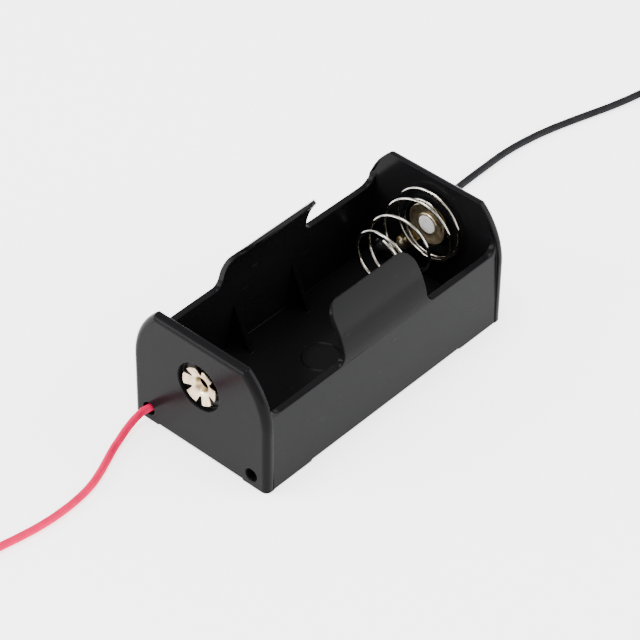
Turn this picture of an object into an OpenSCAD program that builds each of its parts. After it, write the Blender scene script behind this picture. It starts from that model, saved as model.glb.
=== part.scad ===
// Open-topped holder for one C cell, with a flying lead at each end.
// A black moulded case grips the cell between two curling tabs. A riveted button meets the
// cell's cap at one end, and a conical coil spring presses on its base at the other.
// Millimetres. X runs across the case, Y along the cell towards the spring, Z up.
// The origin is on the surface that the case rests on, below its middle.

/* [Cell] */
// Diameter of the cell
cell_diameter = 26.2; // [24:0.1:30]
// Length of the cell over its cap
cell_length = 50; // [46:0.5:56]
// Gap all round the cell
cell_clearance = 0.2; // [0.1:0.05:0.6]

/* [Case] */
// Length that the two contacts and the squeezed spring take from the bay
contact_allowance = 6.6; // [6:0.1:9]
// Thickness of an end plate
plate_thickness = 1.7; // [1.5:0.1:2.4]
// Height of an end plate above the cell's axis
plate_rise = 9.5; // [7:0.1:12]
// How far the end plates stand out past each side wall, level with the cell's axis
plate_step = 0.6; // [0.2:0.1:1.2]
// How far they stand out past the foot of the wall, which leans outwards as it goes down
plate_foot_step = 0.1; // [0.05:0.05:0.2]
// How far the centre of an end plate's shoulders lies below the cell's axis
shoulder_drop = 1.8; // [0:0.1:3]
// Radius of the rounded outer edge of an end plate
plate_edge_radius = 1.2; // [0.4:0.1:1.4]
// Thickness of a side wall and of its tab
wall_thickness = 1.3; // [1:0.1:1.8]
// Height of the low stretches of a side wall above the cell's axis
wall_rise = 1.1; // [0.5:0.1:3]
// Radius in which a wall's top edge climbs to an end plate
wall_end_radius = 2.6; // [1:0.1:4]
// Thickness of the floor
floor_thickness = 1.2; // [0.9:0.1:2]

/* [Tabs] */
// Length of a tab along the cell
tab_length = 20.6; // [14:0.2:26]
// Angle that a tab wraps above the cell's axis
tab_angle = 48; // [40:1:56]
// Radius of a tab's top corners
tab_corner_radius = 2.6; // [1:0.1:4]
// Radius where a tab runs into the low wall
tab_foot_radius = 1.8; // [0.6:0.1:3]

/* [Ribs, feet and floor mark] */
// Distance of a cradle rib from the middle of the case
rib_offset = 7.3; // [4:0.1:16]
// Thickness of a cradle rib
rib_thickness = 0.9; // [0.6:0.1:1.6]
// Height of a cradle rib above the floor
rib_height = 8.7; // [5:0.1:10]
// Width of a cradle rib along the floor
rib_width = 4; // [2:0.1:4.4]
// Height of a corner foot below the floor
foot_height = 0.3; // [0.2:0.05:0.8]
// Length of a corner foot along the case
foot_length = 11.2; // [6:0.1:20]
// Width of a corner foot across the case
foot_width = 5.6; // [3:0.1:9]
// Diameter of the ring that the mould's insert leaves on the floor
floor_mark_diameter = 7.2; // [4:0.1:10]
// Depth and width of that ring
floor_mark_depth = 0.15; // [0.1:0.05:0.3]

/* [Rivet recesses] */
// Diameter of the round recess in an end plate's outer face
recess_diameter = 9.2; // [8.6:0.1:11]
// Depth of that recess
recess_depth = 1.2; // [0.9:0.05:1.25]

/* [Lead holes] */
// Diameter of a lead hole
lead_hole_diameter = 2.5; // [2:0.1:3]
// Distance of a lead hole from the middle of its end plate
lead_hole_offset = 11.7; // [10:0.1:12]
// Height of a lead hole's centre above the floor's underside
lead_hole_height = 2.2; // [1.9:0.1:4]
// Diameter of the groove that runs on from the hole along the floor
lead_groove_diameter = 2.1; // [1.6:0.1:2.2]
// Depth of the groove in the floor
lead_groove_depth = 0.15; // [0.05:0.05:0.3]
// Length of that groove
lead_groove_length = 2.4; // [0.5:0.1:4]

/* [Rivets] */
// Outside diameter of a rivet's tubular shank
shank_diameter = 3.9; // [3.4:0.1:4.2]
// Thickness of a rivet's metal
rivet_gauge = 0.3; // [0.2:0.05:0.4]
// Gap all round a shank in its hole
shank_clearance = 0.05; // [0.02:0.01:0.15]
// Diameter of a rivet's head
head_diameter = 8; // [6.5:0.1:9]
// Thickness of a rivet's head at its rim
head_thickness = 0.3; // [0.2:0.05:0.5]
// Diameter of the raised button on a head
button_diameter = 4.2; // [3:0.1:5]
// Height of the button above the head
button_height = 0.2; // [0.1:0.05:0.6]
// Diameter across the petals of the flared end
petal_diameter = 7.4; // [6.5:0.1:8.2]
// Number of petals
petal_count = 6; // [5:1:8]
// Radius at which the notches between the petals start
notch_root = 2.2; // [2:0.1:2.8]
// How far a petal is splayed up from the plastic, in degrees
petal_rise = 16; // [5:1:25]

/* [Solder tags] */
// Thickness of a solder tag
tag_thickness = 0.3; // [0.2:0.05:0.5]
// Diameter of a tag's ring
tag_ring_diameter = 7; // [6:0.1:8]
// Width of a tag's tail
tag_width = 2.6; // [2:0.1:3.4]
// Distance from the rivet to the end of a tag's tail
tag_reach = 11.6; // [9:0.1:12.4]
// Slope of a tag's tail towards the lead hole, in degrees below level
tag_slope = 53; // [48:1:66]

/* [Spring] */
// Diameter of the spring's wire
wire_diameter = 0.6; // [0.45:0.05:0.8]
// Diameter of the spring at the end plate, to the middle of the wire
spring_base_diameter = 13.8; // [11:0.1:17]
// Diameter of the spring where its open turns end, to the middle of the wire
spring_tip_diameter = 10.2; // [8:0.1:13]
// Length of the free spring between the middles of its end turns
spring_length = 13.6; // [10:0.1:18]
// Open turns between the closed end turns
spring_turns = 2.5; // [2:0.5:4]
// Closed turns at each end
closed_turns = 1; // [0.8:0.1:2]
// Where the wire's cut end lies round the axis, in degrees up from +X
cut_end_angle = 77; // [0:1:359]

/* [Leads] */
// Outside diameter of a lead
lead_diameter = 1.4; // [1.1:0.1:1.8]
// Diameter of a lead's tinned strands
strand_diameter = 0.7; // [0.5:0.05:0.9]
// Length of the tinned strands at a lead's free end
strand_length = 6; // [4:0.5:10]
// Diameter of a solder joint
solder_diameter = 2.2; // [1.8:0.1:2.8]

/* [Hidden] */
$fn = 64;

// The case, worked out from the cell that it holds
floor_top = foot_height + floor_thickness;
cell_radius = cell_diameter / 2;
axis_z = floor_top + cell_radius;
wall_inner = cell_radius + cell_clearance;
wall_outer = wall_inner + wall_thickness;
half_width = wall_outer + plate_step;
wall_foot = half_width - plate_foot_step;
bay_length = cell_length + contact_allowance;
half_bay = bay_length / 2;
half_length = half_bay + plate_thickness;
plate_top = axis_z + plate_rise;
low_wall_top = axis_z + wall_rise;
shoulder_z = axis_z - shoulder_drop;
tab_top = axis_z + wall_outer * sin(tab_angle);

// What each rivet holds: the plastic under the recess, the tag, and at one end the spring
recess_web = plate_thickness - recess_depth;
positive_grip = recess_web + tag_thickness;
negative_grip = positive_grip + wire_diameter;
shank_radius = shank_diameter / 2;
shank_hole_radius = shank_radius + shank_clearance;
seat_gap = 0.01;
lead_z = foot_height + lead_hole_height;
groove_drop = lead_z - floor_top + lead_groove_depth - lead_groove_diameter / 2;
overlap = 0.1;
far = 2 * half_length;

// The leads: x, y and z of each lead's centre, from its solder joint outwards
red_route = [
    [-8.2, -26.5, 5], [-9.2, -26.5, 4.3], [-10, -26.6, 3.7], [-10.7, -27.1, 3.2],
    [-11.1, -27.6, 2.9], [-11.4, -28.3, 2.7], [-11.7, -29.2, 2.5], [-11.9, -30, 2.4],
    [-12.1, -31, 2.3], [-12.1, -32.2, 2.1], [-12, -33.6, 1.8], [-11.7, -35.4, 1.4],
    [-11.2, -37.4, 1], [-10.4, -39.8, 0.8], [-9.2, -42.6, 0.7], [-8, -45.4, 0.7],
    [-7, -48.4, 0.7], [-6.4, -52, 0.7], [-6.2, -56, 0.7], [-6.4, -60, 0.7],
    [-7, -64, 0.7], [-7.8, -68, 0.7], [-8.4, -71.5, 0.7], [-8.6, -75, 0.7]
];
black_route = [
    [-8.2, 26.5, 5], [-9.2, 26.5, 4.3], [-10, 26.6, 3.7], [-10.7, 27.1, 3.2],
    [-11.1, 27.6, 2.9], [-11.4, 28.3, 2.7], [-11.7, 29.2, 2.5], [-11.9, 30, 2.4],
    [-12.1, 31, 2.3], [-12.1, 32.4, 2.1], [-12.1, 34.2, 1.8], [-12.2, 36.4, 1.3],
    [-12.3, 38.8, 0.9], [-12.6, 41.6, 0.7], [-13, 46, 0.7], [-13.3, 51, 0.7],
    [-13.5, 56, 0.7], [-13.6, 61, 0.7], [-13.6, 66, 0.7], [-13.1, 71, 0.7],
    [-12.2, 76, 0.7], [-10.9, 81, 0.7], [-9.4, 86, 0.7], [-7.9, 91, 0.7],
    [-6.7, 96, 0.7], [-6, 100, 0.7], [-5.8, 103, 0.7]
];
// Each lead's spare length is wound flat, clockwise and inwards, round a middle of its own
red_coil_middle = [-16.4, -75];
black_coil_middle = [2, 103];
red_coil_turns = 2.25;
black_coil_turns = 1.4;
red_coil_start = 0;
black_coil_start = 180;
coil_outer = 7.8;
coil_pitch = 1.45;
// How far the strands turn in from the last turn, in degrees
strand_turn = 60;
lead_sides = 8;
// The spring's wire: sides of its section and steps in a turn
wire_sides = 8;
wire_steps = 20;

// ---- Shapes that repeat -------------------------------------------------

// A swept tube: one ring of points round each point of the line, closed at both ends
function unit(v) = v / norm(v);
function heading(line, i) =
    unit(line[min(i + 1, len(line) - 1)] - line[max(i - 1, 0)]);
function ring(centre, t, across, r, sides) =
    let (u = unit(cross(t, across)), v = cross(t, u))
    [for (k = [0 : sides - 1])
        let (angle = (k + 0.5) * 360 / sides)
        centre + r * (cos(angle) * u + sin(angle) * v)];

// The line never runs along the direction called across
module swept_tube(line, across, r, sides) {
    rings = len(line);
    points = [for (i = [0 : rings - 1]) each ring(line[i], heading(line, i), across, r, sides)];
    walls = [
        for (i = [0 : rings - 2], k = [0 : sides - 1])
            let (a = i * sides + k, b = i * sides + (k + 1) % sides)
            each [[a, b, b + sides], [a, b + sides, a + sides]]
    ];
    first = [for (k = [sides - 1 : -1 : 0]) k];
    last = [for (k = [0 : sides - 1]) (rings - 1) * sides + k];
    polyhedron(points = points, faces = concat([last], [first], walls), convexity = 4);
}

// Turns a solid that stands on Z so that it points out through an end plate
module facing(end_y) {
    translate([0, end_y, axis_z])
        rotate([end_y < 0 ? 90 : -90, 0, 0])
            children();
}

// ---- The case -----------------------------------------------------------

// Seen along the cell: upright sides that run into two shoulders below a flat top
module plate_outline(inset) {
    intersection() {
        union() {
            translate([0, shoulder_z])
                circle(r = half_width - inset);
            translate([-half_width + inset, 0])
                square([2 * (half_width - inset), shoulder_z]);
        }
        translate([-half_width, foot_height])
            square([2 * half_width, plate_top - foot_height]);
    }
}

// The outer edge of a plate, rounded along its sides, its shoulders and its top
module plate_shoulders() {
    translate([0, 0, shoulder_z])
        rotate([90, 0, 0])
            rotate_extrude($fn = 128)
                rounded_corner_section(half_width);
}

module rounded_corner_section(reach) {
    difference() {
        square([reach, plate_thickness]);
        translate([reach - plate_edge_radius, plate_thickness - plate_edge_radius])
            difference() {
                square(2 * plate_edge_radius);
                circle(r = plate_edge_radius);
            }
    }
}

module plate_sides() {
    for (side = [0, 1])
        mirror([side, 0, 0])
            linear_extrude(shoulder_z)
                mirror([0, 1])
                    rounded_corner_section(half_width);
}

module plate_top_edge() {
    rotate([90, 0, 90])
        translate([0, 0, -half_width])
            linear_extrude(2 * half_width)
                rotate([0, 0, 90])
                    rounded_corner_section(plate_top);
}

// One end plate, its inner face on y = 0 and its outer face towards -Y
module end_plate() {
    intersection() {
        rotate([90, 0, 0])
            linear_extrude(plate_thickness)
                plate_outline(0);
        union() {
            plate_shoulders();
            plate_sides();
        }
        plate_top_edge();
    }
}

// Seen along the cell: one side wall, near upright to the axis and then wrapped round the cell
module wall_section() {
    polygon([
        [wall_inner, foot_height],
        [wall_foot, foot_height],
        [wall_outer, axis_z],
        [wall_inner, axis_z]
    ]);
    translate([0, axis_z])
        intersection() {
            difference() {
                circle(r = wall_outer, $fn = 128);
                circle(r = wall_inner, $fn = 128);
            }
            polygon([
                [0, 0],
                [far, 0],
                [far, far * tan(tab_angle / 2)],
                [far * cos(tab_angle), far * sin(tab_angle)]
            ]);
        }
}

module inside_corner(r) {
    difference() {
        translate([-overlap, -overlap])
            square(r + overlap);
        translate([r, r])
            circle(r = r);
    }
}

// Seen from the side: low stretches that climb to the end plates, and the tab between them
module wall_outline() {
    half_tab = tab_length / 2;
    translate([-half_bay - overlap, 0])
        square([bay_length + 2 * overlap, low_wall_top]);
    translate([-half_tab, low_wall_top - overlap])
        square([tab_length, tab_top - tab_corner_radius - low_wall_top + overlap]);
    translate([-half_tab + tab_corner_radius, tab_top - 2 * tab_corner_radius])
        square([tab_length - 2 * tab_corner_radius, 2 * tab_corner_radius]);
    for (side = [0, 1])
        mirror([side, 0]) {
            translate([half_tab - tab_corner_radius, tab_top - tab_corner_radius])
                circle(r = tab_corner_radius);
            translate([half_tab, low_wall_top])
                inside_corner(tab_foot_radius);
            translate([half_bay, low_wall_top])
                mirror([1, 0])
                    inside_corner(wall_end_radius);
        }
}

module side_wall() {
    intersection() {
        rotate([90, 0, 0])
            translate([0, 0, -half_bay - overlap])
                linear_extrude(bay_length + 2 * overlap)
                    wall_section();
        rotate([90, 0, 90])
            linear_extrude(half_width)
                wall_outline();
    }
}

module cradle_rib() {
    translate([0, rib_thickness / 2, 0])
        rotate([90, 0, 0])
            linear_extrude(rib_thickness)
                polygon([
                    [wall_inner + overlap, floor_top - overlap],
                    [wall_inner + overlap, floor_top + rib_height],
                    [wall_inner, floor_top + rib_height],
                    [wall_inner - rib_width, floor_top],
                    [wall_inner - rib_width, floor_top - overlap]
                ]);
}

// A foot keeps to the rounded corner of the plate above it
module corner_foot() {
    intersection() {
        translate([half_width - foot_width, half_length - foot_length, 0])
            cube([foot_width, foot_length, foot_height + overlap]);
        union() {
            translate([0, 0, -overlap])
                cube([wall_foot, half_bay + overlap, far]);
            translate([0, half_bay, -overlap])
                mirror([0, 1, 0])
                    plate_sides();
        }
    }
}

module case_solid() {
    for (turn = [0, 180])
        rotate([0, 0, turn]) {
            translate([0, -half_bay, 0])
                end_plate();
            side_wall();
        }
    translate([-wall_outer, -half_bay - overlap, foot_height])
        cube([2 * wall_outer, bay_length + 2 * overlap, floor_thickness]);
    for (x = [0, 1], y = [0, 1])
        mirror([x, 0, 0])
            mirror([0, y, 0]) {
                translate([0, rib_offset, 0])
                    cradle_rib();
                corner_foot();
            }
}

module lead_holes(end_y) {
    for (x = [-lead_hole_offset, lead_hole_offset])
        translate([x, end_y, lead_z])
            rotate([end_y < 0 ? -90 : 90, 0, 0]) {
                translate([0, 0, -overlap])
                    cylinder(d = lead_hole_diameter, h = plate_thickness + overlap);
                translate([0, end_y < 0 ? groove_drop : -groove_drop, 0])
                    cylinder(d = lead_groove_diameter, h = plate_thickness + lead_groove_length);
            }
}

module floor_mark() {
    translate([0, 0, floor_top - floor_mark_depth])
        linear_extrude(2 * floor_mark_depth)
            difference() {
                circle(d = floor_mark_diameter);
                circle(d = floor_mark_diameter - 2 * floor_mark_depth);
            }
}

module case() {
    color("#1d1d1f")
        difference() {
            case_solid();
            for (end = [-1, 1]) {
                facing(end * (half_length - recess_depth))
                    cylinder(d = recess_diameter, h = recess_depth + overlap);
                facing(end * (half_bay - overlap))
                    cylinder(r = shank_hole_radius, h = plate_thickness);
            }
            lead_holes(-half_length);
            lead_holes(half_length);
            floor_mark();
        }
}

// ---- Rivets -------------------------------------------------------------

// The tube's end bends out over the edge of its hole and splays; notches part it into petals
module petal_section(grip) {
    bend = rivet_gauge / 2;
    bend_top = bend + rivet_gauge;
    bend_z = grip + seat_gap - sqrt(bend * bend - (bend - shank_clearance) * (bend - shank_clearance));
    petal_start = shank_radius + bend - bend_top * sin(petal_rise);
    petal_length = (petal_diameter / 2 - petal_start) / cos(petal_rise);
    translate([shank_radius - rivet_gauge, -overlap])
        square([rivet_gauge, bend_z + overlap]);
    translate([shank_radius + bend, bend_z]) {
        intersection() {
            difference() {
                circle(r = bend_top);
                circle(r = bend);
            }
            polygon([
                [0, 0],
                [-far, 0],
                [-far, far],
                [-far * sin(petal_rise), far * cos(petal_rise)]
            ]);
        }
        rotate([0, 0, petal_rise])
            translate([0, bend])
                square([petal_length, rivet_gauge]);
    }
}

// Cut from each notch's root at the shank, so that the petals keep parallel sides
module notches(grip) {
    for (k = [0 : petal_count - 1])
        rotate([0, 0, k * 360 / petal_count])
            translate([notch_root, 0, grip])
                linear_extrude(shank_diameter)
                    polygon([
                        [0, 0],
                        [petal_diameter, petal_diameter * tan(180 / petal_count)],
                        [petal_diameter, -petal_diameter * tan(180 / petal_count)]
                    ]);
}

// A rivet stands on z = 0 under its head; its shank runs up through the grip, and its bore
// ends in the drawn button
module rivet(grip) {
    head_radius = head_diameter / 2;
    button_radius = button_diameter / 2;
    dish = head_thickness / 2;
    button_top = head_thickness + button_height;
    edge = button_height / 3;
    bore_radius = shank_radius - rivet_gauge;
    bore_floor = rivet_gauge - button_top;
    // a notch lies over the seam of the revolve, and a petal lies level
    rotate([0, 0, 180 / petal_count])
        difference() {
            rotate_extrude()
                petal_section(grip);
            notches(grip);
        }
    rotate_extrude()
        polygon([
            [0, bore_floor],
            [bore_radius, bore_floor],
            [bore_radius, 0],
            [head_radius - dish, 0],
            [head_radius, -dish],
            [head_radius, -head_thickness - dish],
            [head_radius - dish, -head_thickness - dish],
            [button_radius + dish, -head_thickness + dish / 2],
            [button_radius, -head_thickness],
            [button_radius, -button_top + edge],
            [button_radius - edge, -button_top],
            [0, -button_top]
        ]);
}

module positive_rivet() {
    color("#c9c4b8")
        facing(-half_bay + tag_thickness)
            rivet(positive_grip);
}

module negative_rivet() {
    color("#c9c4b8")
        facing(half_bay - tag_thickness - wire_diameter)
            rivet(negative_grip);
}

// ---- Solder tags and joints ---------------------------------------------

module solder_tag() {
    linear_extrude(tag_thickness)
        difference() {
            union() {
                circle(d = tag_ring_diameter);
                translate([0, -tag_width / 2])
                    square([tag_reach - tag_width / 2, tag_width]);
                translate([tag_reach - tag_width / 2, 0])
                    circle(d = tag_width);
            }
            circle(r = shank_hole_radius);
        }
}

// The tail points down and towards -X at both ends of the case
module placed_tag(face_y) {
    translate([0, face_y, axis_z])
        rotate([90, 0, 0])
            rotate([0, 0, 180 + tag_slope])
                solder_tag();
}

module positive_solder_tag() {
    color("#b08a3c")
        placed_tag(-half_bay + tag_thickness);
}

module negative_solder_tag() {
    color("#b08a3c")
        placed_tag(half_bay);
}

// A dome of solder on the tail, towards the bay
module solder_joint(face_y, towards) {
    tail = tag_reach - tag_width / 2;
    translate([-tail * cos(tag_slope), face_y, axis_z - tail * sin(tag_slope)])
        rotate([towards < 0 ? 90 : -90, 0, 0])
            intersection() {
                sphere(d = solder_diameter);
                translate([-solder_diameter, -solder_diameter, 0])
                    cube(2 * solder_diameter);
            }
}

module positive_solder_joint() {
    color("#b9b9b6")
        solder_joint(-half_bay + tag_thickness, 1);
}

module negative_solder_joint() {
    color("#b9b9b6")
        solder_joint(half_bay - tag_thickness, -1);
}

// ---- The spring ---------------------------------------------------------

// Turn by turn from the wire's first end: a loop round the rivet's shank under its head, a
// spiral out to the base, the closed base turn, the open turns, and the closed turn at the
// free end, which draws in a little
loop_turns = 0.9;
spread_turns = 0.7;
turn_marks = [
    0,
    loop_turns,
    loop_turns + spread_turns,
    loop_turns + spread_turns + closed_turns,
    loop_turns + spread_turns + closed_turns + spring_turns,
    loop_turns + spread_turns + 2 * closed_turns + spring_turns
];
all_turns = turn_marks[5];
loop_radius = shank_radius + wire_diameter / 2 + 2 * shank_clearance;
base_radius = spring_base_diameter / 2;
open_radius = spring_tip_diameter / 2;
tip_radius = open_radius - wire_diameter / 2;
wire_radii = [loop_radius, loop_radius, base_radius, base_radius, open_radius, tip_radius];
closed_rise = closed_turns * (wire_diameter + 2 * seat_gap);
wire_rises = [0, 0, 0, closed_rise, spring_length - closed_rise, spring_length];
base_y = half_bay - tag_thickness - wire_diameter / 2;
function at_turn(turn, values) = lookup(turn, [for (i = [0 : 5]) [turn_marks[i], values[i]]]);
function wire_point(turn) =
    let (
        r = at_turn(turn, wire_radii),
        angle = cut_end_angle + 360 * (turn - all_turns)
    )
    [r * cos(angle), base_y - at_turn(turn, wire_rises), axis_z + r * sin(angle)];

module negative_spring() {
    steps = round(all_turns * wire_steps);
    color("#d2d0cc")
        swept_tube(
            [for (i = [0 : steps]) wire_point(all_turns * i / steps)],
            [0, 1, 0],
            wire_diameter / 2,
            wire_sides
        );
}

// ---- The leads ----------------------------------------------------------

// The flat ring that a lead's spare turns fill
module spare_turns(middle, turns) {
    r = lead_diameter / 2;
    coil_inner = coil_outer - turns * coil_pitch;
    translate([middle.x, middle.y, r])
        rotate_extrude($fn = 96)
            union() {
                translate([coil_inner, -r])
                    square([coil_outer - coil_inner, lead_diameter]);
                for (x = [coil_inner, coil_outer])
                    translate([x, 0])
                        circle(r = r, $fn = 24);
            }
}

// Tinned strands between two points
module strands(from, to) {
    along = to - from;
    translate(from)
        rotate([0, acos(along.z / norm(along)), atan2(along.y, along.x)])
            cylinder(d = strand_diameter, h = norm(along), $fn = 24);
}

// The middle of a solder joint's dome, half of its height above the tag
tail = tag_reach - tag_width / 2;
function joint_point(face_y, towards) = [
    -tail * cos(tag_slope),
    face_y + towards * solder_diameter / 4,
    axis_z - tail * sin(tag_slope)
];

// The strands come off a coil's last turn, towards its middle
function end_strand(middle, start, turns) =
    let (
        angle = start - 360 * turns,
        r = coil_outer - turns * coil_pitch,
        along = angle - 90 - strand_turn,
        root = [middle.x + r * cos(angle), middle.y + r * sin(angle), lead_diameter / 2]
    )
    [root, root + strand_length * [cos(along), sin(along), 0]];

module red_lead() {
    color("#e0384e")
        swept_tube(red_route, [0, 0, 1], lead_diameter / 2, lead_sides);
}

module red_lead_coil() {
    color("#e0384e")
        spare_turns(red_coil_middle, red_coil_turns);
}

module red_inner_strands() {
    color("#c8c8c4")
        strands(joint_point(-half_bay + tag_thickness, 1), red_route[0]);
}

module red_end_strands() {
    ends = end_strand(red_coil_middle, red_coil_start, red_coil_turns);
    color("#c8c8c4")
        strands(ends[0], ends[1]);
}

module black_lead() {
    color("#222224")
        swept_tube(black_route, [0, 0, 1], lead_diameter / 2, lead_sides);
}

module black_lead_coil() {
    color("#222224")
        spare_turns(black_coil_middle, black_coil_turns);
}

module black_inner_strands() {
    color("#c8c8c4")
        strands(joint_point(half_bay - tag_thickness, -1), black_route[0]);
}

module black_end_strands() {
    ends = end_strand(black_coil_middle, black_coil_start, black_coil_turns);
    color("#c8c8c4")
        strands(ends[0], ends[1]);
}

case();
positive_rivet();
positive_solder_tag();
positive_solder_joint();
negative_rivet();
negative_solder_tag();
negative_spring();
negative_solder_joint();
red_lead();
red_lead_coil();
red_inner_strands();
red_end_strands();
black_lead();
black_lead_coil();
black_inner_strands();
black_end_strands();
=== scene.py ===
import math

import bpy
from mathutils import Matrix, Vector
from mathutils.bvhtree import BVHTree


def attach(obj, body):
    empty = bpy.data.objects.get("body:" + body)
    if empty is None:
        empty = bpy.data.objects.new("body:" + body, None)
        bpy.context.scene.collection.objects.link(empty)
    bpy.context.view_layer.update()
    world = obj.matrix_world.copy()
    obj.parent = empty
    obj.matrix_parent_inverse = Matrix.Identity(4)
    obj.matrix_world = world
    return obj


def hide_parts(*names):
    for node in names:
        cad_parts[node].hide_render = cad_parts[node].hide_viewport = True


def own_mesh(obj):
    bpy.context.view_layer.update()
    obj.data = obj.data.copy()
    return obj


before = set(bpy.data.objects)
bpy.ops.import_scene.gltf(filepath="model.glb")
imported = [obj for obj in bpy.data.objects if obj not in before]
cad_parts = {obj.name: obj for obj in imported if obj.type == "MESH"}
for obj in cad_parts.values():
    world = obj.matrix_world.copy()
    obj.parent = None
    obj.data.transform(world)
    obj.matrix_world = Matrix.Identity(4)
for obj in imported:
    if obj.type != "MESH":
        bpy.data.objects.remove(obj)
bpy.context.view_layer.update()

# ---- Camera --------------------------------------------------------------------------------
# The holder lies on a table. A long lens looks down on it from over the corner between the
# positive end and the open side of the lead holes, so that the bay shows from above.
MM = 0.001
view_turn = math.radians(41.604)
view_rise = math.radians(41.316)
view_roll = math.radians(0.877)
view_distance = 507.9 * MM
aim = Vector((-3.39, 3.34, 5.7)) * MM
view_back = Vector((
    math.sin(view_turn) * math.cos(view_rise),
    -math.cos(view_turn) * math.cos(view_rise),
    math.sin(view_rise),
))
level_right = Vector((math.cos(view_turn), math.sin(view_turn), 0))
level_up = view_back.cross(level_right)
view_right = level_right * math.cos(view_roll) + level_up * math.sin(view_roll)
view_up = level_up * math.cos(view_roll) - level_right * math.sin(view_roll)

camera = bpy.data.objects.new("camera", bpy.data.cameras.new("camera"))
bpy.context.scene.collection.objects.link(camera)
camera.matrix_world = Matrix.Translation(aim + view_back * view_distance) @ Matrix(
    (view_right, view_up, view_back)
).transposed().to_4x4()
camera.data.sensor_width = 36
camera.data.lens = 166.8
camera.data.clip_start = 0.01
bpy.context.scene.camera = camera


# ---- Leads ---------------------------------------------------------------------------------
# Two lengths of stranded hook-up wire in extruded PVC, one red and one black. Each is soldered
# to its tag inside the bay, leaves through the hole in the corner of its end plate and lies on
# the table; its spare length is wound flat, and its strands are bared and tinned.
lead_diameter = 1.4 * MM
resting_height = 0.7
joint_offset = 6.2
joint_height = 6.37
strands_start = 27.45
coil_outer = 7.8
coil_pitch = 1.45
coil_steps = 24
strand_radius = 0.115 * MM
strand_steps = 12
strand_lay = 2.02
smooth_under = math.radians(40)
red_route = [
    [-8.2, -26.5, 5], [-9.2, -26.5, 4.3], [-10, -26.6, 3.7], [-10.7, -27.1, 3.2],
    [-11.1, -27.6, 2.9], [-11.4, -28.3, 2.7], [-11.7, -29.2, 2.5], [-11.9, -30, 2.4],
    [-12.1, -31, 2.3], [-12.1, -32.2, 2.1], [-12, -33.6, 1.8], [-11.7, -35.4, 1.4],
    [-11.2, -37.4, 1], [-10.4, -39.8, 0.8], [-9.2, -42.6, 0.7], [-8, -45.4, 0.7],
    [-7, -48.4, 0.7], [-6.4, -52, 0.7], [-6.2, -56, 0.7], [-6.4, -60, 0.7],
    [-7, -64, 0.7], [-7.8, -68, 0.7], [-8.4, -71.5, 0.7], [-8.6, -75, 0.7],
]
black_route = [
    [-8.2, 26.5, 5], [-9.2, 26.5, 4.3], [-10, 26.6, 3.7], [-10.7, 27.1, 3.2],
    [-11.1, 27.6, 2.9], [-11.4, 28.3, 2.7], [-11.7, 29.2, 2.5], [-11.9, 30, 2.4],
    [-12.1, 31, 2.3], [-12.1, 32.4, 2.1], [-12.1, 34.2, 1.8], [-12.2, 36.4, 1.3],
    [-12.3, 38.8, 0.9], [-12.6, 41.6, 0.7], [-13, 46, 0.7], [-13.3, 51, 0.7],
    [-13.5, 56, 0.7], [-13.6, 61, 0.7], [-13.6, 66, 0.7], [-13.1, 71, 0.7],
    [-12.2, 76, 0.7], [-10.9, 81, 0.7], [-9.4, 86, 0.7], [-7.9, 91, 0.7],
    [-6.7, 96, 0.7], [-6, 100, 0.7], [-5.8, 103, 0.7],
]


def to_coil_end(route, middle, start, turns):
    """The route's points, then the points of a flat coil wound clockwise and inwards."""
    points = [Vector(p) for p in route]
    for step in range(1, round(turns * coil_steps) + 1):
        turned = step / coil_steps
        angle = math.radians(start - 360 * turned)
        r = coil_outer - coil_pitch * turned
        x, y = middle[0] + r * math.cos(angle), middle[1] + r * math.sin(angle)
        points.append(Vector((x, y, resting_height)))
    return [p * MM for p in points]


def choose(piece):
    """Make this the one chosen object, and the one that operators work on."""
    bpy.ops.object.select_all(action="DESELECT")
    piece.select_set(True)
    bpy.context.view_layer.objects.active = piece


def smooth_tube(name, points, radius, sides_each_quarter=4, steps=6):
    """A round tube along a smooth line through the points, as a mesh closed at both ends."""
    curve = bpy.data.curves.new(name, "CURVE")
    curve.dimensions = "3D"
    curve.bevel_depth = radius
    curve.bevel_resolution = sides_each_quarter
    curve.resolution_u = steps
    curve.use_fill_caps = True
    curve.twist_mode = "MINIMUM"
    spline = curve.splines.new("BEZIER")
    spline.bezier_points.add(len(points) - 1)
    for knot, place in zip(spline.bezier_points, points):
        knot.co = place
        knot.handle_left_type = "AUTO"
        knot.handle_right_type = "AUTO"
    tube = bpy.data.objects.new(name, curve)
    bpy.context.scene.collection.objects.link(tube)
    choose(tube)
    bpy.ops.object.convert(target="MESH")
    bpy.ops.object.shade_smooth_by_angle(angle=smooth_under)
    return bpy.context.view_layer.objects.active


def linear(hex_colour):
    """An sRGB hex colour as the linear RGBA that a shader takes."""
    parts = [int(hex_colour[i:i + 2], 16) / 255 for i in (1, 3, 5)]
    return [c / 12.92 if c <= 0.04045 else ((c + 0.055) / 1.055) ** 2.4 for c in parts] + [1]


def new_material(name, **inputs):
    """A node material and its shader, with the shader's constant inputs set."""
    material = bpy.data.materials.new(name)
    material.use_nodes = True
    shader = material.node_tree.nodes["Principled BSDF"]
    for key, value in inputs.items():
        shader.inputs[key.replace("_", " ")].default_value = value
    return material, shader


def add(material, kind, settings=None, links=None, **inputs):
    """One more node: its settings, its input values, and its links as {input: socket}."""
    node = material.node_tree.nodes.new(kind)
    for key, value in (settings or {}).items():
        setattr(node, key, value)
    for key, value in inputs.items():
        node.inputs[key.replace("_", " ")].default_value = value
    for key, socket in (links or {}).items():
        material.node_tree.links.new(socket, node.inputs[key])
    return node


def finish_material(material, shader, **sockets):
    """The material, with what varies over its surface linked to its shader."""
    for key, socket in sockets.items():
        material.node_tree.links.new(socket, shader.inputs[key.replace("_", " ")])
    return material


def dress(piece, material):
    """Give the whole piece this material."""
    piece.data.materials.clear()
    piece.data.materials.append(material)


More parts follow.
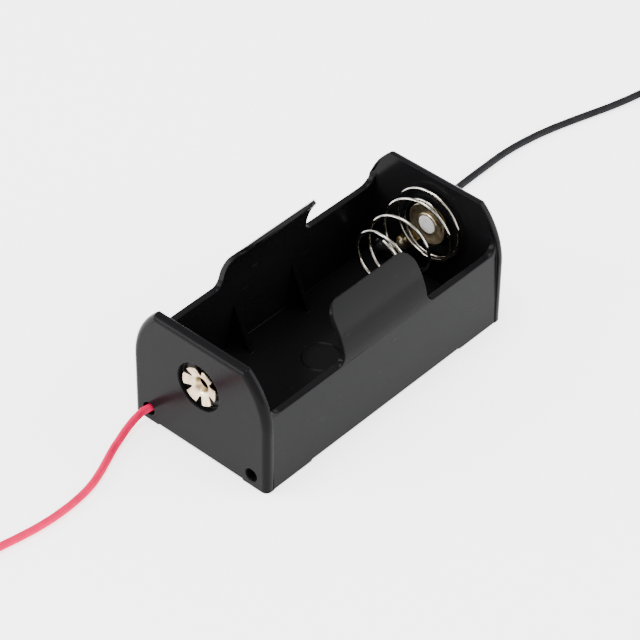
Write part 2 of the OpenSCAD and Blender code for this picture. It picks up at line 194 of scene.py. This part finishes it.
# A noise stays near its middle, so these values of it count as its lowest and its highest
noise_low = 0.3
noise_high = 0.7
fine_share = 0.55


def pvc(name, colour, deep):
    """Soft extruded PVC: light goes a little way in, under a low gloss and an uneven skin."""
    material, shader = new_material(
        name, IOR=1.5, Specular_IOR_Level=0.05, Subsurface_Weight=0.15, Subsurface_Scale=0.4 * MM
    )
    place = add(material, "ShaderNodeTexCoord").outputs["Object"]
    clouds = add(
        material, "ShaderNodeTexNoise", links={"Vector": place},
        Scale=1 / (2.5 * MM), Detail=3, Roughness=fine_share,
    ).outputs["Fac"]
    # The real skin is uneven on a finer scale than this: it is drawn coarser to show
    skin = add(
        material, "ShaderNodeTexNoise", links={"Vector": place},
        Scale=1 / (0.5 * MM), Detail=2, Roughness=fine_share,
    ).outputs["Fac"]
    depth = add(
        material, "ShaderNodeMapRange", links={"Value": clouds},
        From_Min=noise_low, From_Max=noise_high,
    ).outputs["Result"]
    tint = add(
        material, "ShaderNodeMix", {"data_type": "RGBA"}, {"Factor": depth},
        A=linear(colour), B=linear(deep),
    ).outputs["Result"]
    dullness = add(
        material, "ShaderNodeMapRange", links={"Value": skin},
        From_Min=noise_low, From_Max=noise_high, To_Min=0.5, To_Max=0.62,
    ).outputs["Result"]
    bumps = add(
        material, "ShaderNodeBump", links={"Height": skin}, Strength=1, Distance=0.004 * MM
    ).outputs["Normal"]
    return finish_material(
        material, shader, Base_Color=tint, Roughness=dullness, Normal=bumps
    )


def tinned_wire():
    """Copper wire under a thin coat of tin, which lets the copper show here and there."""
    material, shader = new_material("tinned copper", Metallic=1)
    place = add(material, "ShaderNodeTexCoord").outputs["Object"]
    patches = add(
        material, "ShaderNodeTexNoise", links={"Vector": place},
        Scale=1 / (0.5 * MM), Detail=3, Roughness=fine_share,
    ).outputs["Fac"]
    runs = add(
        material, "ShaderNodeTexNoise", links={"Vector": place},
        Scale=1 / (0.2 * MM), Detail=3, Roughness=fine_share,
    ).outputs["Fac"]
    # The pits of dipped tin are a few hundredths of a millimetre: they are drawn coarser to show
    pits = add(
        material, "ShaderNodeTexNoise", links={"Vector": place},
        Scale=1 / (0.1 * MM), Detail=3, Roughness=fine_share,
    ).outputs["Fac"]
    worn = add(
        material, "ShaderNodeMapRange", links={"Value": patches}, From_Min=0.55, From_Max=0.75
    ).outputs["Result"]
    tint = add(
        material, "ShaderNodeMix", {"data_type": "RGBA"}, {"Factor": worn},
        A=linear("#d6d3ca"), B=linear("#b98a62"),
    ).outputs["Result"]
    dullness = add(
        material, "ShaderNodeMapRange", links={"Value": runs},
        From_Min=noise_low, From_Max=noise_high, To_Min=0.25, To_Max=0.45,
    ).outputs["Result"]
    bumps = add(
        material, "ShaderNodeBump", links={"Height": pits}, Strength=1, Distance=0.004 * MM
    ).outputs["Normal"]
    return finish_material(
        material, shader, Base_Color=tint, Roughness=dullness, Normal=bumps
    )


def join(pieces, name):
    """Make one piece of several."""
    choose(pieces[0])
    for piece in pieces[1:]:
        piece.select_set(True)
    bpy.ops.object.join()
    joined = bpy.context.view_layer.objects.active
    joined.name = name
    joined.data.name = name
    return joined


def twisted_strands(name, start, end, turns, fan=0):
    """Six wires laid round a seventh, from start to end; they open out by fan at the end."""
    start, end = Vector(start) * MM, Vector(end) * MM
    along = (end - start).normalized()
    side = along.cross(Vector((0, 0, 1))).normalized()
    over = side.cross(along)
    wires = []
    for k in range(7):
        ring = 0 if k == 6 else strand_lay * strand_radius
        points = []
        for step in range(strand_steps + 1):
            share = step / strand_steps
            angle = math.tau * (k / 6 + turns * share)
            reach = ring * (1 + fan * share ** 3)
            across = side * reach * math.cos(angle)
            points.append(start.lerp(end, share) + across + over * reach * math.sin(angle))
        wires.append(smooth_tube(name + str(k), points, strand_radius, 1, 2))
    return join(wires, name)


red_pvc = pvc("red extruded PVC", "#d2004a", "#c00042")
black_pvc = pvc("black extruded PVC", "#1d1d1f", "#111113")
tinned_copper = tinned_wire()
for colour, end_side, route, middle, start, turns, lead_end, pvc_skin in (
    ("red", -1, red_route, (-16.4, -75), 0, 2.25, (-19.4, -74.34, resting_height), red_pvc),
    ("black", 1, black_route, (2, 103), 180, 1.4, (4.23, 100.91, resting_height), black_pvc),
):
    line = to_coil_end(route, middle, start, turns)
    lead = smooth_tube(colour + "_insulated_lead", line, lead_diameter / 2)
    dress(lead, pvc_skin)
    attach(lead, "holder")
    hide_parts(colour + "_lead", colour + "_lead_coil")
    for place, ends, twist, fan in (
        ("inner", ((-joint_offset, strands_start * end_side, joint_height), route[0]), 0.4, 0),
        ("end", (line[-1] / MM, lead_end), 1.2, 0.7),
    ):
        strands = twisted_strands(colour + "_" + place + "_bare_strands", *ends, twist, fan)
        dress(strands, tinned_copper)
        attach(strands, "holder")
        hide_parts(colour + "_" + place + "_strands")


# ---- Case ----------------------------------------------------------------------------------
# One injection moulding in black ABS, with a semi-gloss skin from a plain steel tool. Every
# edge has the small radius that moulding leaves, and a fillet runs where walls meet the floor.
edge_radius = 0.18 * MM
sharp_over = math.radians(30)
axis_z = 14.6
wall_outer = 14.6
half_tab = 10.3
tab_side_slack = 0.1
tab_corner_radius = 2.6
corner_rise = 8.25
tab_root_rise = 3.3
tab_root_lean = math.radians(13)
tab_tip_lean = math.radians(48)
tab_thinning = 0.42
weld = 0.01 * MM
short_edge = 0.08 * MM
flat_within = math.radians(0.5)
stray_edge = 0.004 * MM
hair = 0.001 * MM


def edit(piece, select="SELECT"):
    """Open one piece for editing, with all or nothing of it chosen."""
    choose(piece)
    bpy.ops.object.mode_set(mode="EDIT")
    bpy.ops.mesh.select_all(action=select)


def merged_copy(node, name, reshape=lambda piece: None):
    """A copy of a node's mesh as one skin, reshaped if need be, with each flat face whole."""
    piece = bpy.data.objects.new(name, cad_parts[node].data.copy())
    bpy.context.scene.collection.objects.link(piece)
    edit(piece)
    bpy.ops.mesh.remove_doubles(threshold=weld)
    bpy.ops.object.mode_set(mode="OBJECT")
    reshape(piece)
    edit(piece)
    bpy.ops.mesh.remove_doubles(threshold=short_edge)
    bpy.ops.mesh.dissolve_limited(angle_limit=flat_within)
    bpy.ops.object.mode_set(mode="OBJECT")
    return piece


def soften(piece, radius):
    """Round the edges of a piece and keep its flat faces flat.

    Where a face tapers to nothing the bevel throws points off, and they go back to the skin.
    """
    skin = BVHTree.FromPolygons(
        [v.co for v in piece.data.vertices], [f.vertices for f in piece.data.polygons]
    )
    bevel = piece.modifiers.new("edges", "BEVEL")
    bevel.width = radius
    bevel.segments = 3
    bevel.angle_limit = sharp_over
    bevel.use_clamp_overlap = False
    bevel.loop_slide = False
    choose(piece)
    bpy.ops.object.modifier_apply(modifier=bevel.name)
    for v in piece.data.vertices:
        on_skin, _, _, away = skin.find_nearest(v.co)
        if away > radius / 2:
            v.co = on_skin
    edit(piece)
    bpy.ops.mesh.remove_doubles(threshold=stray_edge)
    bpy.ops.mesh.dissolve_degenerate(threshold=stray_edge)
    bpy.ops.mesh.select_all(action="SELECT")
    bpy.ops.mesh.fill_holes(sides=8)
    bpy.ops.mesh.select_all(action="SELECT")
    bpy.ops.mesh.normals_make_consistent(inside=False)
    bpy.ops.object.mode_set(mode="OBJECT")
    bpy.ops.object.shade_smooth_by_angle(angle=smooth_under)
    flats = piece.modifiers.new("flats", "WEIGHTED_NORMAL")
    flats.keep_sharp = True
    bpy.ops.object.modifier_apply(modifier=flats.name)


def moulded_plastic():
    """Semi-gloss black: its gloss varies softly, and a fine grain and faint rubs break it up."""
    material, shader = new_material("black moulded ABS", IOR=1.45, Specular_IOR_Level=0.042)
    place = add(material, "ShaderNodeTexCoord").outputs["Object"]
    flow = add(
        material, "ShaderNodeTexNoise", links={"Vector": place},
        Scale=1 / (7 * MM), Detail=2, Roughness=fine_share,
    ).outputs["Fac"]
    # A plain tool leaves a grain of less than 0.1 mm: it is drawn coarser to show
    grain = add(
        material, "ShaderNodeTexNoise", links={"Vector": place},
        Scale=1 / (0.3 * MM), Detail=2, Roughness=fine_share,
    ).outputs["Fac"]
    # The rubs run lengthwise, the way that a cell is slid in against the spring
    along_cell = add(
        material, "ShaderNodeMapping", links={"Vector": place}, Scale=(1, 0.15, 1)
    ).outputs["Vector"]
    rubs = add(
        material, "ShaderNodeTexNoise", links={"Vector": along_cell},
        Scale=1 / (0.5 * MM), Detail=4, Roughness=fine_share,
    ).outputs["Fac"]
    worn = add(
        material, "ShaderNodeMapRange", links={"Value": rubs}, From_Min=0.66, From_Max=0.8
    ).outputs["Result"]
    tint = add(
        material, "ShaderNodeMix", {"data_type": "RGBA"}, {"Factor": worn},
        A=linear("#0e0e0f"), B=linear("#202021"),
    ).outputs["Result"]
    skin_dullness = add(
        material, "ShaderNodeMapRange", links={"Value": flow},
        From_Min=noise_low, From_Max=noise_high, To_Min=0.15, To_Max=0.21,
    ).outputs["Result"]
    rub_dullness = add(
        material, "ShaderNodeMapRange", links={"Value": worn}, To_Max=0.12
    ).outputs["Result"]
    dullness = add(
        material, "ShaderNodeMath", {"operation": "ADD"}, {0: skin_dullness, 1: rub_dullness}
    ).outputs["Value"]
    waves = add(
        material, "ShaderNodeBump", links={"Height": flow}, Strength=1, Distance=0.01 * MM
    ).outputs["Normal"]
    bumps = add(
        material, "ShaderNodeBump", links={"Height": grain, "Normal": waves},
        Strength=1, Distance=0.0015 * MM,
    ).outputs["Normal"]
    return finish_material(
        material, shader, Base_Color=tint, Roughness=dullness, Normal=bumps
    )


def shape_tabs(piece):
    """Thin the tabs towards their tips, and turn the tips' corners square to the curved skin."""
    for v in piece.data.vertices:
        x, y, up = v.co.x / MM, v.co.y / MM, v.co.z / MM - axis_z
        if up < tab_root_rise or abs(y) > half_tab + tab_side_slack:
            continue
        reach, lean = math.hypot(x, up), math.atan2(up, abs(x))
        thinning = (lean - tab_root_lean) / (tab_tip_lean - tab_root_lean) * tab_thinning
        grow = (wall_outer - (wall_outer - reach) * (1 - thinning)) / reach
        v.co.x, v.co.z = v.co.x * grow, (axis_z + up * grow) * MM
        past_corner = wall_outer * math.sin(lean) - corner_rise
        if past_corner > 0:
            arc = math.sqrt(max(0, tab_corner_radius ** 2 - past_corner ** 2))
            v.co.y = math.copysign(min(abs(y), half_tab - tab_corner_radius + arc) * MM, y)


case = merged_copy("case", "moulded_case", shape_tabs)
soften(case, edge_radius)
dress(case, moulded_plastic())
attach(case, "holder")
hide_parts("case")


# ---- Rivets --------------------------------------------------------------------------------
# Each rivet is drawn and pressed from nickel-plated brass sheet: a button on a dished flange,
# and a tube that is split and splayed into six petals in the recess of the end plate.
tag_face = 28
tag_gauge = 0.3
recess_web = 0.5
wire_diameter = 0.6
rivet_gauge = 0.3
shank_radius = 1.95
funnel_foot = 1.2
funnel_depth = 0.1
ring_sides = 72
bend_steps = 5
bend_drop = 0.1
petal_count = 6
petal_rise = math.radians(16)
petal_root = 2.2
# Each step out along a petal: how far it goes, and its width as a share of the one before
petal_steps = (
    (0.3, 0.93), (0.4, 1.06), (0.4, 1.07), (0.28, 1.02), (0.1, 0.95), (0.04, 0.9),
)
petal_squaring = 0.88
petal_edge_radius = 0.06
petal_sharp_over = math.radians(50)
button_edge = 1.75
button_rise = 0.43
faces_cell = 0.8
# Radius and height round the head's section, from the middle of its button to its bore
head_profile = (
    (1.1, -0.5), (1.55, -0.485), (button_edge, -0.46), (1.95, -0.47), (2.07, -0.41),
    (2.1, -0.32), (2.16, -0.25),
    (2.35, -0.22), (2.7, -0.25), (3.1, -0.33), (3.5, -0.42), (3.8, -0.47), (3.94, -0.46),
    (4, -0.39), (4, -0.2), (3.93, -0.13), (3.7, -0.04), (3.4, 0), (1.65, 0), (1.65, -0.2),
    (1.4, -0.2),
)


def pull(rise, grow):
    """Extrude the chosen ring of edges along the axis, then scale it about the axis."""
    bpy.ops.mesh.extrude_edges_move(TRANSFORM_OT_translate={"value": (0, 0, rise * MM)})
    bpy.ops.transform.resize(value=(grow, grow, 1), center_override=(0, 0, 0))


def pull_along(profile):
    """Carry the chosen ring of edges through a profile of radii and heights."""
    for (r0, z0), (r1, z1) in zip(profile, profile[1:]):
        pull(z1 - z0, r1 / r0)


def press_head():
    """The button and its flange, from the middle of the button round to the bore."""
    bpy.ops.mesh.primitive_circle_add(
        vertices=ring_sides, radius=head_profile[0][0] * MM, fill_type="NGON", location=(0, 0, 0)
    )
    head = bpy.context.active_object
    edit(head)
    bpy.ops.transform.translate(value=(0, 0, head_profile[0][1] * MM))
    pull_along(head_profile)
    bpy.ops.mesh.edge_face_add()
    bpy.ops.mesh.select_all(action="SELECT")
    bpy.ops.mesh.normals_make_consistent(inside=False)
    bpy.ops.object.mode_set(mode="OBJECT")
    return head


def splay_star(grip):
    """The shank's tube and one petal on a sixth of it, then the other five."""
    bend = rivet_gauge / 2
    bend_top = bend + rivet_gauge
    bend_z = grip - bend_drop
    profile = [(funnel_foot, -funnel_depth)]
    for k in range(bend_steps + 1):
        turned = math.pi - (math.pi / 2 - petal_rise) * k / bend_steps
        r = shank_radius + bend + bend_top * math.cos(turned)
        profile.append((r, bend_z + bend_top * math.sin(turned)))
    edge_r, edge_z = profile[-1]
    profile.append((petal_root, edge_z + (petal_root - edge_r) * math.tan(petal_rise)))
    bpy.ops.mesh.primitive_circle_add(
        vertices=ring_sides, radius=funnel_foot * MM, location=(0, 0, 0)
    )
    star = bpy.context.active_object
    edit(star, "DESELECT")
    bpy.ops.object.mode_set(mode="OBJECT")
    sixth_starts = funnel_foot * MM * math.cos(math.pi / petal_count) - hair
    for v in star.data.vertices:
        v.select = v.co.x < sixth_starts
    bpy.ops.object.mode_set(mode="EDIT")
    bpy.ops.mesh.delete(type="VERT")
    bpy.ops.mesh.select_all(action="SELECT")
    bpy.ops.transform.translate(value=(0, 0, -funnel_depth * MM))
    pull_along(profile)
    reach = petal_root
    for advance, width in petal_steps:
        step = (advance * MM, 0, advance * math.tan(petal_rise) * MM)
        bpy.ops.mesh.extrude_edges_move(TRANSFORM_OT_translate={"value": step})
        reach += advance
        bpy.ops.transform.resize(
            value=(petal_squaring, width, 1), center_override=(reach * MM, 0, 0)
        )
    bpy.ops.mesh.select_all(action="SELECT")
    for _ in range(petal_count - 1):
        bpy.ops.mesh.duplicate()
        bpy.ops.transform.rotate(
            value=math.tau / petal_count, orient_axis="Z", center_override=(0, 0, 0)
        )
    bpy.ops.mesh.select_all(action="SELECT")
    bpy.ops.mesh.remove_doubles(threshold=2 * hair)
    bpy.ops.mesh.normals_make_consistent(inside=False)
    bpy.ops.object.mode_set(mode="OBJECT")
    gauge = star.modifiers.new("gauge", "SOLIDIFY")
    gauge.thickness = rivet_gauge * MM
    gauge.offset = 1
    gauge.use_even_offset = True
    edges = star.modifiers.new("edges", "BEVEL")
    edges.width = petal_edge_radius * MM
    edges.segments = 2
    edges.angle_limit = petal_sharp_over
    for modifier in (gauge, edges):
        bpy.ops.object.modifier_apply(modifier=modifier.name)
    return star


def nickel_plate(name, bright, stained, glossy, dull):
    """Nickel with a warm cast, stained a little, with faint marks of the press on it."""
    material, shader = new_material(name, Metallic=1)
    place = add(material, "ShaderNodeTexCoord").outputs["Object"]
    patches = add(
        material, "ShaderNodeTexNoise", links={"Vector": place},
        Scale=1 / (1.2 * MM), Detail=4, Roughness=fine_share,
    ).outputs["Fac"]
    handling = add(
        material, "ShaderNodeTexNoise", links={"Vector": place},
        Scale=1 / (2 * MM), Detail=3, Roughness=fine_share,
    ).outputs["Fac"]
    press_marks = add(
        material, "ShaderNodeTexNoise", links={"Vector": place},
        Scale=1 / (0.8 * MM), Detail=1, Roughness=fine_share,
    ).outputs["Fac"]
    stains = add(
        material, "ShaderNodeMapRange", links={"Value": patches}, From_Min=0.4, From_Max=0.75
    ).outputs["Result"]
    tint = add(
        material, "ShaderNodeMix", {"data_type": "RGBA"}, {"Factor": stains},
        A=linear(bright), B=linear(stained),
    ).outputs["Result"]
    dullness = add(
        material, "ShaderNodeMapRange", links={"Value": handling},
        From_Min=noise_low, From_Max=noise_high, To_Min=glossy, To_Max=dull,
    ).outputs["Result"]
    bumps = add(
        material, "ShaderNodeBump", links={"Height": press_marks},
        Strength=1, Distance=0.0006 * MM,
    ).outputs["Normal"]
    return finish_material(
        material, shader, Base_Color=tint, Roughness=dullness, Normal=bumps
    )


nickel = nickel_plate("nickel plate on brass", "#d8c8aa", "#988668", 0.26, 0.38)
# The buttons' faces are rubbed dull by the cells; their whiter colour than the plating is a
# painted highlight
rubbed_nickel_painted_bright = nickel_plate("nickel rubbed dull by cells, painted bright", "#ffffff", "#f0ece4", 0.68, 0.76)
# A rivet holds its tag to the plate's thin web, and at one end the spring's loop with it
positive_grip = recess_web + tag_gauge
for name, grip, face_y, turn in (
    ("positive_rivet", positive_grip, -tag_face, math.pi / 2),
    ("negative_rivet", positive_grip + wire_diameter, tag_face - wire_diameter, -math.pi / 2),
):
    rivet = join([splay_star(grip), press_head()], name + "_pressed")
    rivet.rotation_euler = (turn, 0, 0)
    rivet.location = (0, face_y * MM, axis_z * MM)
    bpy.ops.object.transform_apply(location=True, rotation=True, scale=True)
    bpy.ops.object.shade_smooth_by_angle(angle=smooth_under)
    dress(rivet, nickel)
    rivet.data.materials.append(rubbed_nickel_painted_bright)
    inwards = -1 if face_y > 0 else 1
    # The button's faces towards the cell take the rubbed nickel, whose white colour is a painted
    # highlight
    for face in rivet.data.polygons:
        off_axis = math.hypot(face.center.x, face.center.z - axis_z * MM)
        on_button = (face.center.y - face_y * MM) * inwards > button_rise * MM
        if on_button and off_axis < button_edge * MM and face.normal.y * inwards > faces_cell:
            face.material_index = 1
    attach(rivet, "holder")
    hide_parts(name)


# ---- Spring --------------------------------------------------------------------------------
# Round spring wire, nickel-plated. It is wound from a loop under the rivet's head out to the
# base turn, and rises in open turns to a closed turn that carries the cell.
# At these turns of the wire, its winding has these radii and stands this far off its plate
turn_marks = (0, 0.9, 1.6, 2.6, 5.1, 6.1)
wire_radii = (2.35, 2.35, 6.9, 6.9, 5.1, 4.8)
wire_rises = (0, 0, 0, 0.62, 12.98, 13.6)
base_y = tag_face - wire_diameter / 2
cut_end = math.radians(77)
steps_a_turn = 24


def at_turn(turn, values):
    """The value at this turn, on straight lines between the marks."""
    for k in range(len(turn_marks) - 1):
        if turn <= turn_marks[k + 1]:
            share = (turn - turn_marks[k]) / (turn_marks[k + 1] - turn_marks[k])
            return values[k] + (values[k + 1] - values[k]) * share
    return values[-1]


def wire_point(turn):
    """Where the middle of the wire is at this turn."""
    r = at_turn(turn, wire_radii)
    angle = cut_end + math.tau * (turn - turn_marks[-1])
    y = base_y - at_turn(turn, wire_rises)
    return Vector((r * math.cos(angle), y, axis_z + r * math.sin(angle))) * MM


def plated_wire():
    """Drawn steel wire under bright nickel: it shines, with a few dull spots."""
    material, shader = new_material("nickel-plated spring wire", Metallic=1)
    place = add(material, "ShaderNodeTexCoord").outputs["Object"]
    patches = add(
        material, "ShaderNodeTexNoise", links={"Vector": place},
        Scale=1 / (0.8 * MM), Detail=4, Roughness=fine_share,
    ).outputs["Fac"]
    handling = add(
        material, "ShaderNodeTexNoise", links={"Vector": place},
        Scale=1 / (2 * MM), Detail=3, Roughness=fine_share,
    ).outputs["Fac"]
    # Marks of the coiling tool, drawn wider than they are so that the shine wavers
    tool_marks = add(
        material, "ShaderNodeTexNoise", links={"Vector": place},
        Scale=1 / (1.5 * MM), Detail=1, Roughness=fine_share,
    ).outputs["Fac"]
    spots = add(
        material, "ShaderNodeMapRange", links={"Value": patches}, From_Min=0.5, From_Max=0.75
    ).outputs["Result"]
    tint = add(
        material, "ShaderNodeMix", {"data_type": "RGBA"}, {"Factor": spots},
        A=linear("#b4b0a8"), B=linear("#7e776c"),
    ).outputs["Result"]
    dullness = add(
        material, "ShaderNodeMapRange", links={"Value": handling},
        From_Min=noise_low, From_Max=noise_high, To_Min=0.1, To_Max=0.18,
    ).outputs["Result"]
    bumps = add(
        material, "ShaderNodeBump", links={"Height": tool_marks}, Strength=1, Distance=0.0005 * MM
    ).outputs["Normal"]
    return finish_material(
        material, shader, Base_Color=tint, Roughness=dullness, Normal=bumps
    )


wire_steps = round(turn_marks[-1] * steps_a_turn)
spring = smooth_tube(
    "wound_spring", [wire_point(turn_marks[-1] * k / wire_steps) for k in range(wire_steps + 1)],
    wire_diameter / 2 * MM, 3, 2,
)
dress(spring, plated_wire())
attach(spring, "holder")
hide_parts("negative_spring")
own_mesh(spring)


# ---- Solder tags ---------------------------------------------------------------------------
# Stamped brass tags under the rivets. Their tails reach down to the corners where the leads
# come in; the punch has left their edges slightly rolled.
rolled_edge = 0.05 * MM


def stamped_brass():
    """Brass that has gone dull and brown in places, with the sheet's fine rolling lines."""
    material, shader = new_material("stamped brass", Metallic=1)
    place = add(material, "ShaderNodeTexCoord").outputs["Object"]
    patches = add(
        material, "ShaderNodeTexNoise", links={"Vector": place},
        Scale=1 / (1.6 * MM), Detail=4, Roughness=fine_share,
    ).outputs["Fac"]
    # Rolling lines are a few hundredths of a millimetre apart: they are drawn coarser to show
    along_sheet = add(
        material, "ShaderNodeMapping", links={"Vector": place}, Scale=(0.1, 1, 1)
    ).outputs["Vector"]
    lines = add(
        material, "ShaderNodeTexNoise", links={"Vector": along_sheet},
        Scale=1 / (0.3 * MM), Detail=2, Roughness=fine_share,
    ).outputs["Fac"]
    tarnish = add(
        material, "ShaderNodeMapRange", links={"Value": patches}, From_Min=0.4, From_Max=0.7
    ).outputs["Result"]
    tint = add(
        material, "ShaderNodeMix", {"data_type": "RGBA"}, {"Factor": tarnish},
        A=linear("#b09662"), B=linear("#5e4c2c"),
    ).outputs["Result"]
    dullness = add(
        material, "ShaderNodeMapRange", links={"Value": tarnish}, To_Min=0.28, To_Max=0.5
    ).outputs["Result"]
    bumps = add(
        material, "ShaderNodeBump", links={"Height": lines}, Strength=1, Distance=0.004 * MM
    ).outputs["Normal"]
    return finish_material(
        material, shader, Base_Color=tint, Roughness=dullness, Normal=bumps
    )


brass = stamped_brass()
for end_name in ("positive", "negative"):
    tag = merged_copy(end_name + "_solder_tag", end_name + "_stamped_tag")
    soften(tag, rolled_edge)
    dress(tag, brass)
    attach(tag, "holder")
    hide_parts(end_name + "_solder_tag")


# ---- Solder joints -------------------------------------------------------------------------
# Each lead's strands are soldered to the tail of a tag by hand. The solder stands in a lump
# with smaller ones beside it, and amber flux has run over it.
# Each lump's place beside and above the lead's end, and its radius
solder_lumps = (
    (0, 0, 1.02), (0.85, 1.05, 0.62), (-0.55, 0.45, 0.6), (0.5, -0.6, 0.6), (-0.75, -0.5, 0.5),
)
solder_grain = 0.09 * MM
lump_smooth_under = math.radians(50)


def fluxed_solder():
    """Grey solder with patches of brown flux, which is glossier than the metal."""
    material, shader = new_material("solder with flux")
    place = add(material, "ShaderNodeTexCoord").outputs["Object"]
    patches = add(
        material, "ShaderNodeTexNoise", links={"Vector": place},
        Scale=1 / (0.7 * MM), Detail=3, Roughness=fine_share,
    ).outputs["Fac"]
    ripples = add(
        material, "ShaderNodeTexNoise", links={"Vector": place},
        Scale=1 / (0.3 * MM), Detail=3, Roughness=fine_share,
    ).outputs["Fac"]
    flux = add(
        material, "ShaderNodeMapRange", links={"Value": patches}, From_Min=0.42, From_Max=0.56
    ).outputs["Result"]
    tint = add(
        material, "ShaderNodeMix", {"data_type": "RGBA"}, {"Factor": flux},
        A=linear("#a8a08c"), B=linear("#5c4a28"),
    ).outputs["Result"]
    bare_metal = add(
        material, "ShaderNodeMapRange", links={"Value": flux}, To_Min=1, To_Max=0.35
    ).outputs["Result"]
    dullness = add(
        material, "ShaderNodeMapRange", links={"Value": flux}, To_Min=0.36, To_Max=0.16
    ).outputs["Result"]
    bumps = add(
        material, "ShaderNodeBump", links={"Height": ripples}, Strength=1, Distance=0.02 * MM
    ).outputs["Normal"]
    return finish_material(
        material, shader, Base_Color=tint, Metallic=bare_metal, Roughness=dullness, Normal=bumps
    )


def solder_joint(name, face_y, towards):
    """Fused lumps on the tag's tail, cut off flat at its face."""
    lumps = []
    for x, z, r in solder_lumps:
        bpy.ops.mesh.primitive_ico_sphere_add(
            subdivisions=4, radius=r * MM,
            location=((x - joint_offset) * MM, face_y * MM, (z + joint_height) * MM),
        )
        lumps.append(bpy.context.active_object)
    joint = join(lumps, name)
    bpy.ops.object.transform_apply(location=True, rotation=True, scale=True)
    joint.data.remesh_voxel_size = solder_grain
    bpy.ops.object.voxel_remesh()
    edit(joint)
    bpy.ops.mesh.vertices_smooth(factor=0.5, repeat=4)
    bpy.ops.mesh.bisect(
        plane_co=(0, face_y * MM, 0), plane_no=(0, towards, 0), use_fill=True, clear_inner=True,
        threshold=hair,
    )
    bpy.ops.object.mode_set(mode="OBJECT")
    bpy.ops.object.shade_smooth_by_angle(angle=lump_smooth_under)
    return joint


solder = fluxed_solder()
for end_name, face_y, towards in (("positive", -tag_face, 1), ("negative", tag_face, -1)):
    joint = solder_joint(end_name + "_soldered_lump", face_y, towards)
    dress(joint, solder)
    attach(joint, "holder")
    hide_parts(end_name + "_solder_joint")


# ---- Table and light -----------------------------------------------------------------------
# A plain white sheet that glows, as a lit table does. White screens stand all round it and fade
# into a dark ceiling, and three wide soft boxes light the holder.
sheet_size = 4
glow = 2.2
ceiling_glow = 0.5
light_aim = Vector((0, 0, 0.01))


def lit_paper():
    """White paper: almost even, and bright enough to show in the glossy black walls."""
    material, shader = new_material(
        "white paper", Emission_Strength=glow, Emission_Color=(1, 1, 1, 1)
    )
    place = add(material, "ShaderNodeTexCoord").outputs["Object"]
    clouds = add(
        material, "ShaderNodeTexNoise", links={"Vector": place},
        Scale=1 / (3 * MM), Detail=3, Roughness=fine_share,
    ).outputs["Fac"]
    tint = add(
        material, "ShaderNodeMix", {"data_type": "RGBA"}, {"Factor": clouds},
        A=linear("#f2f2f2"), B=linear("#f6f6f6"),
    ).outputs["Result"]
    return finish_material(material, shader, Base_Color=tint)


bpy.ops.mesh.primitive_plane_add(size=sheet_size, location=(0, 0, 0))
table = bpy.context.active_object
table.name = "table"
dress(table, lit_paper())


def studio_surround():
    """The screens and the ceiling, as light from all round."""
    world = bpy.data.worlds.new("studio")
    world.use_nodes = True
    background = world.node_tree.nodes["Background"]
    background.inputs["Color"].default_value = (1, 1, 1, 1)
    direction = add(world, "ShaderNodeTexCoord").outputs["Generated"]
    height = add(world, "ShaderNodeSeparateXYZ", links={"Vector": direction}).outputs["Z"]
    fade = add(
        world, "ShaderNodeMapRange", links={"Value": height},
        From_Min=0.2, From_Max=0.95, To_Min=glow, To_Max=ceiling_glow,
    ).outputs["Result"]
    world.node_tree.links.new(fade, background.inputs["Strength"])
    bpy.context.scene.world = world


studio_surround()


def soft_box(name, place, size, power):
    """A lamp behind a sheet of diffuser, turned to the holder."""
    light = bpy.data.objects.new(name, bpy.data.lights.new(name, "AREA"))
    light.data.shape = "RECTANGLE"
    light.data.size, light.data.size_y = size
    light.data.energy = power
    light.location = place
    light.rotation_euler = (light_aim - Vector(place)).to_track_quat("-Z", "Y").to_euler()
    bpy.context.scene.collection.objects.link(light)


soft_box("overhead soft box", (-0.1, -0.1, 0.8), (0.45, 0.45), 9)
soft_box("front soft box", (-0.5, -0.6, 0.3), (0.5, 0.4), 9)
soft_box("back soft box", (0.55, 0.44, 0.32), (0.5, 0.68), 9)
